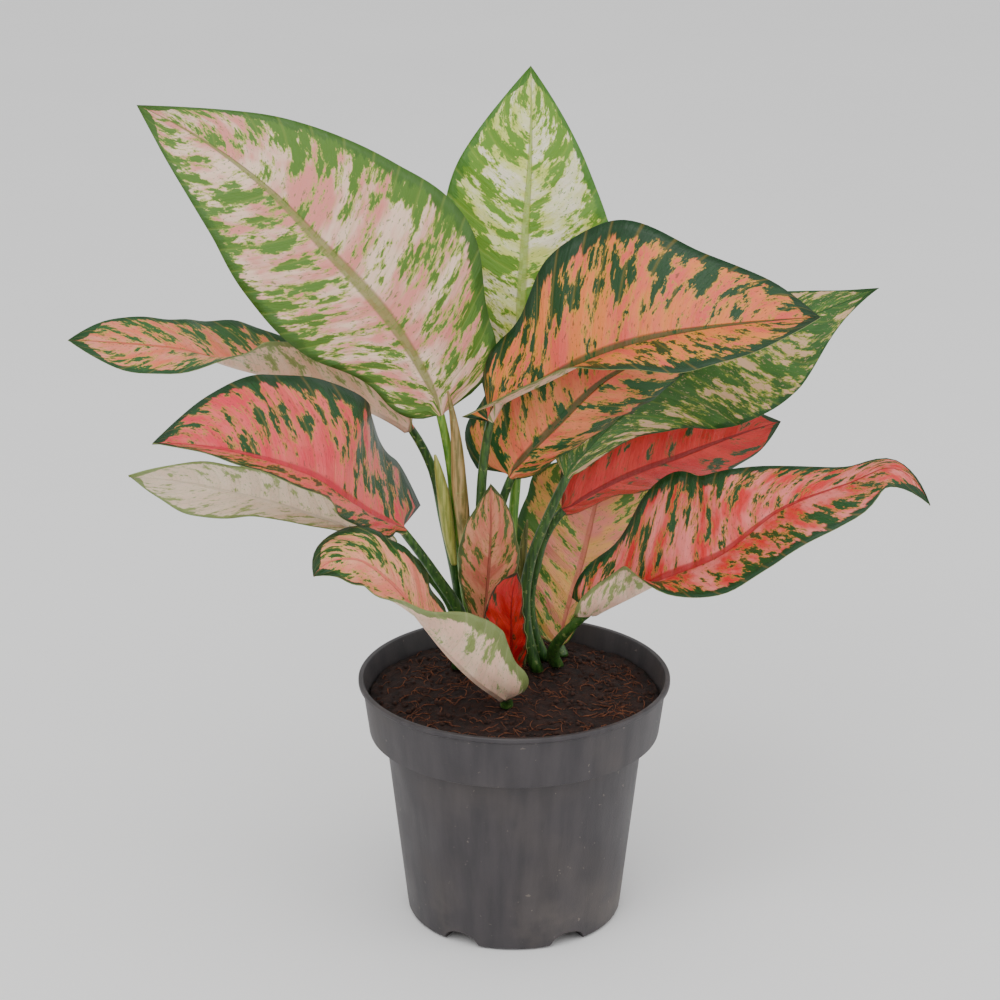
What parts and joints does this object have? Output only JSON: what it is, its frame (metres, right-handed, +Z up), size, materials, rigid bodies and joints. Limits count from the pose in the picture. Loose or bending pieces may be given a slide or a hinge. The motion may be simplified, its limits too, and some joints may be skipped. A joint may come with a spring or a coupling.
{
  "type": "potted chinese evergreen",
  "caption": "Young aglaonema with broad pink, orange, red and green variegated leaves on upright stalks, in a round black nursery pot filled with potting mix.",
  "frame": {"origin": "centre of the pot's underside, on the surface it stands on", "axes": "+Z up along the pot's axis, -Y towards the front of the plant, +X to the right when seen from the front"},
  "size_m": [0.3114, 0.1324, 0.325],
  "materials": {
    "black_plastic": "matte charcoal, finely grained",
    "potting_mix": "loose dark coir and peat",
    "leaf_pink": "satin leaf, pink with green margin",
    "leaf_cream": "satin leaf, cream with green flecks",
    "leaf_orange": "satin leaf, orange with dark green margin",
    "leaf_green": "satin leaf, green with cream and pink flecks",
    "leaf_red": "satin leaf, red with dark green margin",
    "sheath": "papery olive sheath"
  },
  "bodies": {
    "root": {"pot": "black_plastic", "potting_mix": "potting_mix", "leaf_top_left": "leaf_pink", "leaf_top_back": "leaf_cream", "leaf_upper_right": "leaf_orange", "leaf_middle_right": "leaf_orange", "leaf_right": "leaf_green", "leaf_right_shaded": "leaf_red", "leaf_lower_right": "leaf_red", "leaf_low_back": "leaf_pink", "leaf_young_centre": "leaf_pink", "leaf_small_front": "leaf_red", "leaf_lower_left": "leaf_orange", "leaf_left": "leaf_red", "leaf_left_under": "leaf_cream", "leaf_far_left": "leaf_orange", "sheath_left": "sheath", "rolled_new_leaf": "sheath", "sheath_centre": "sheath"}
  },
  "joints": []
}
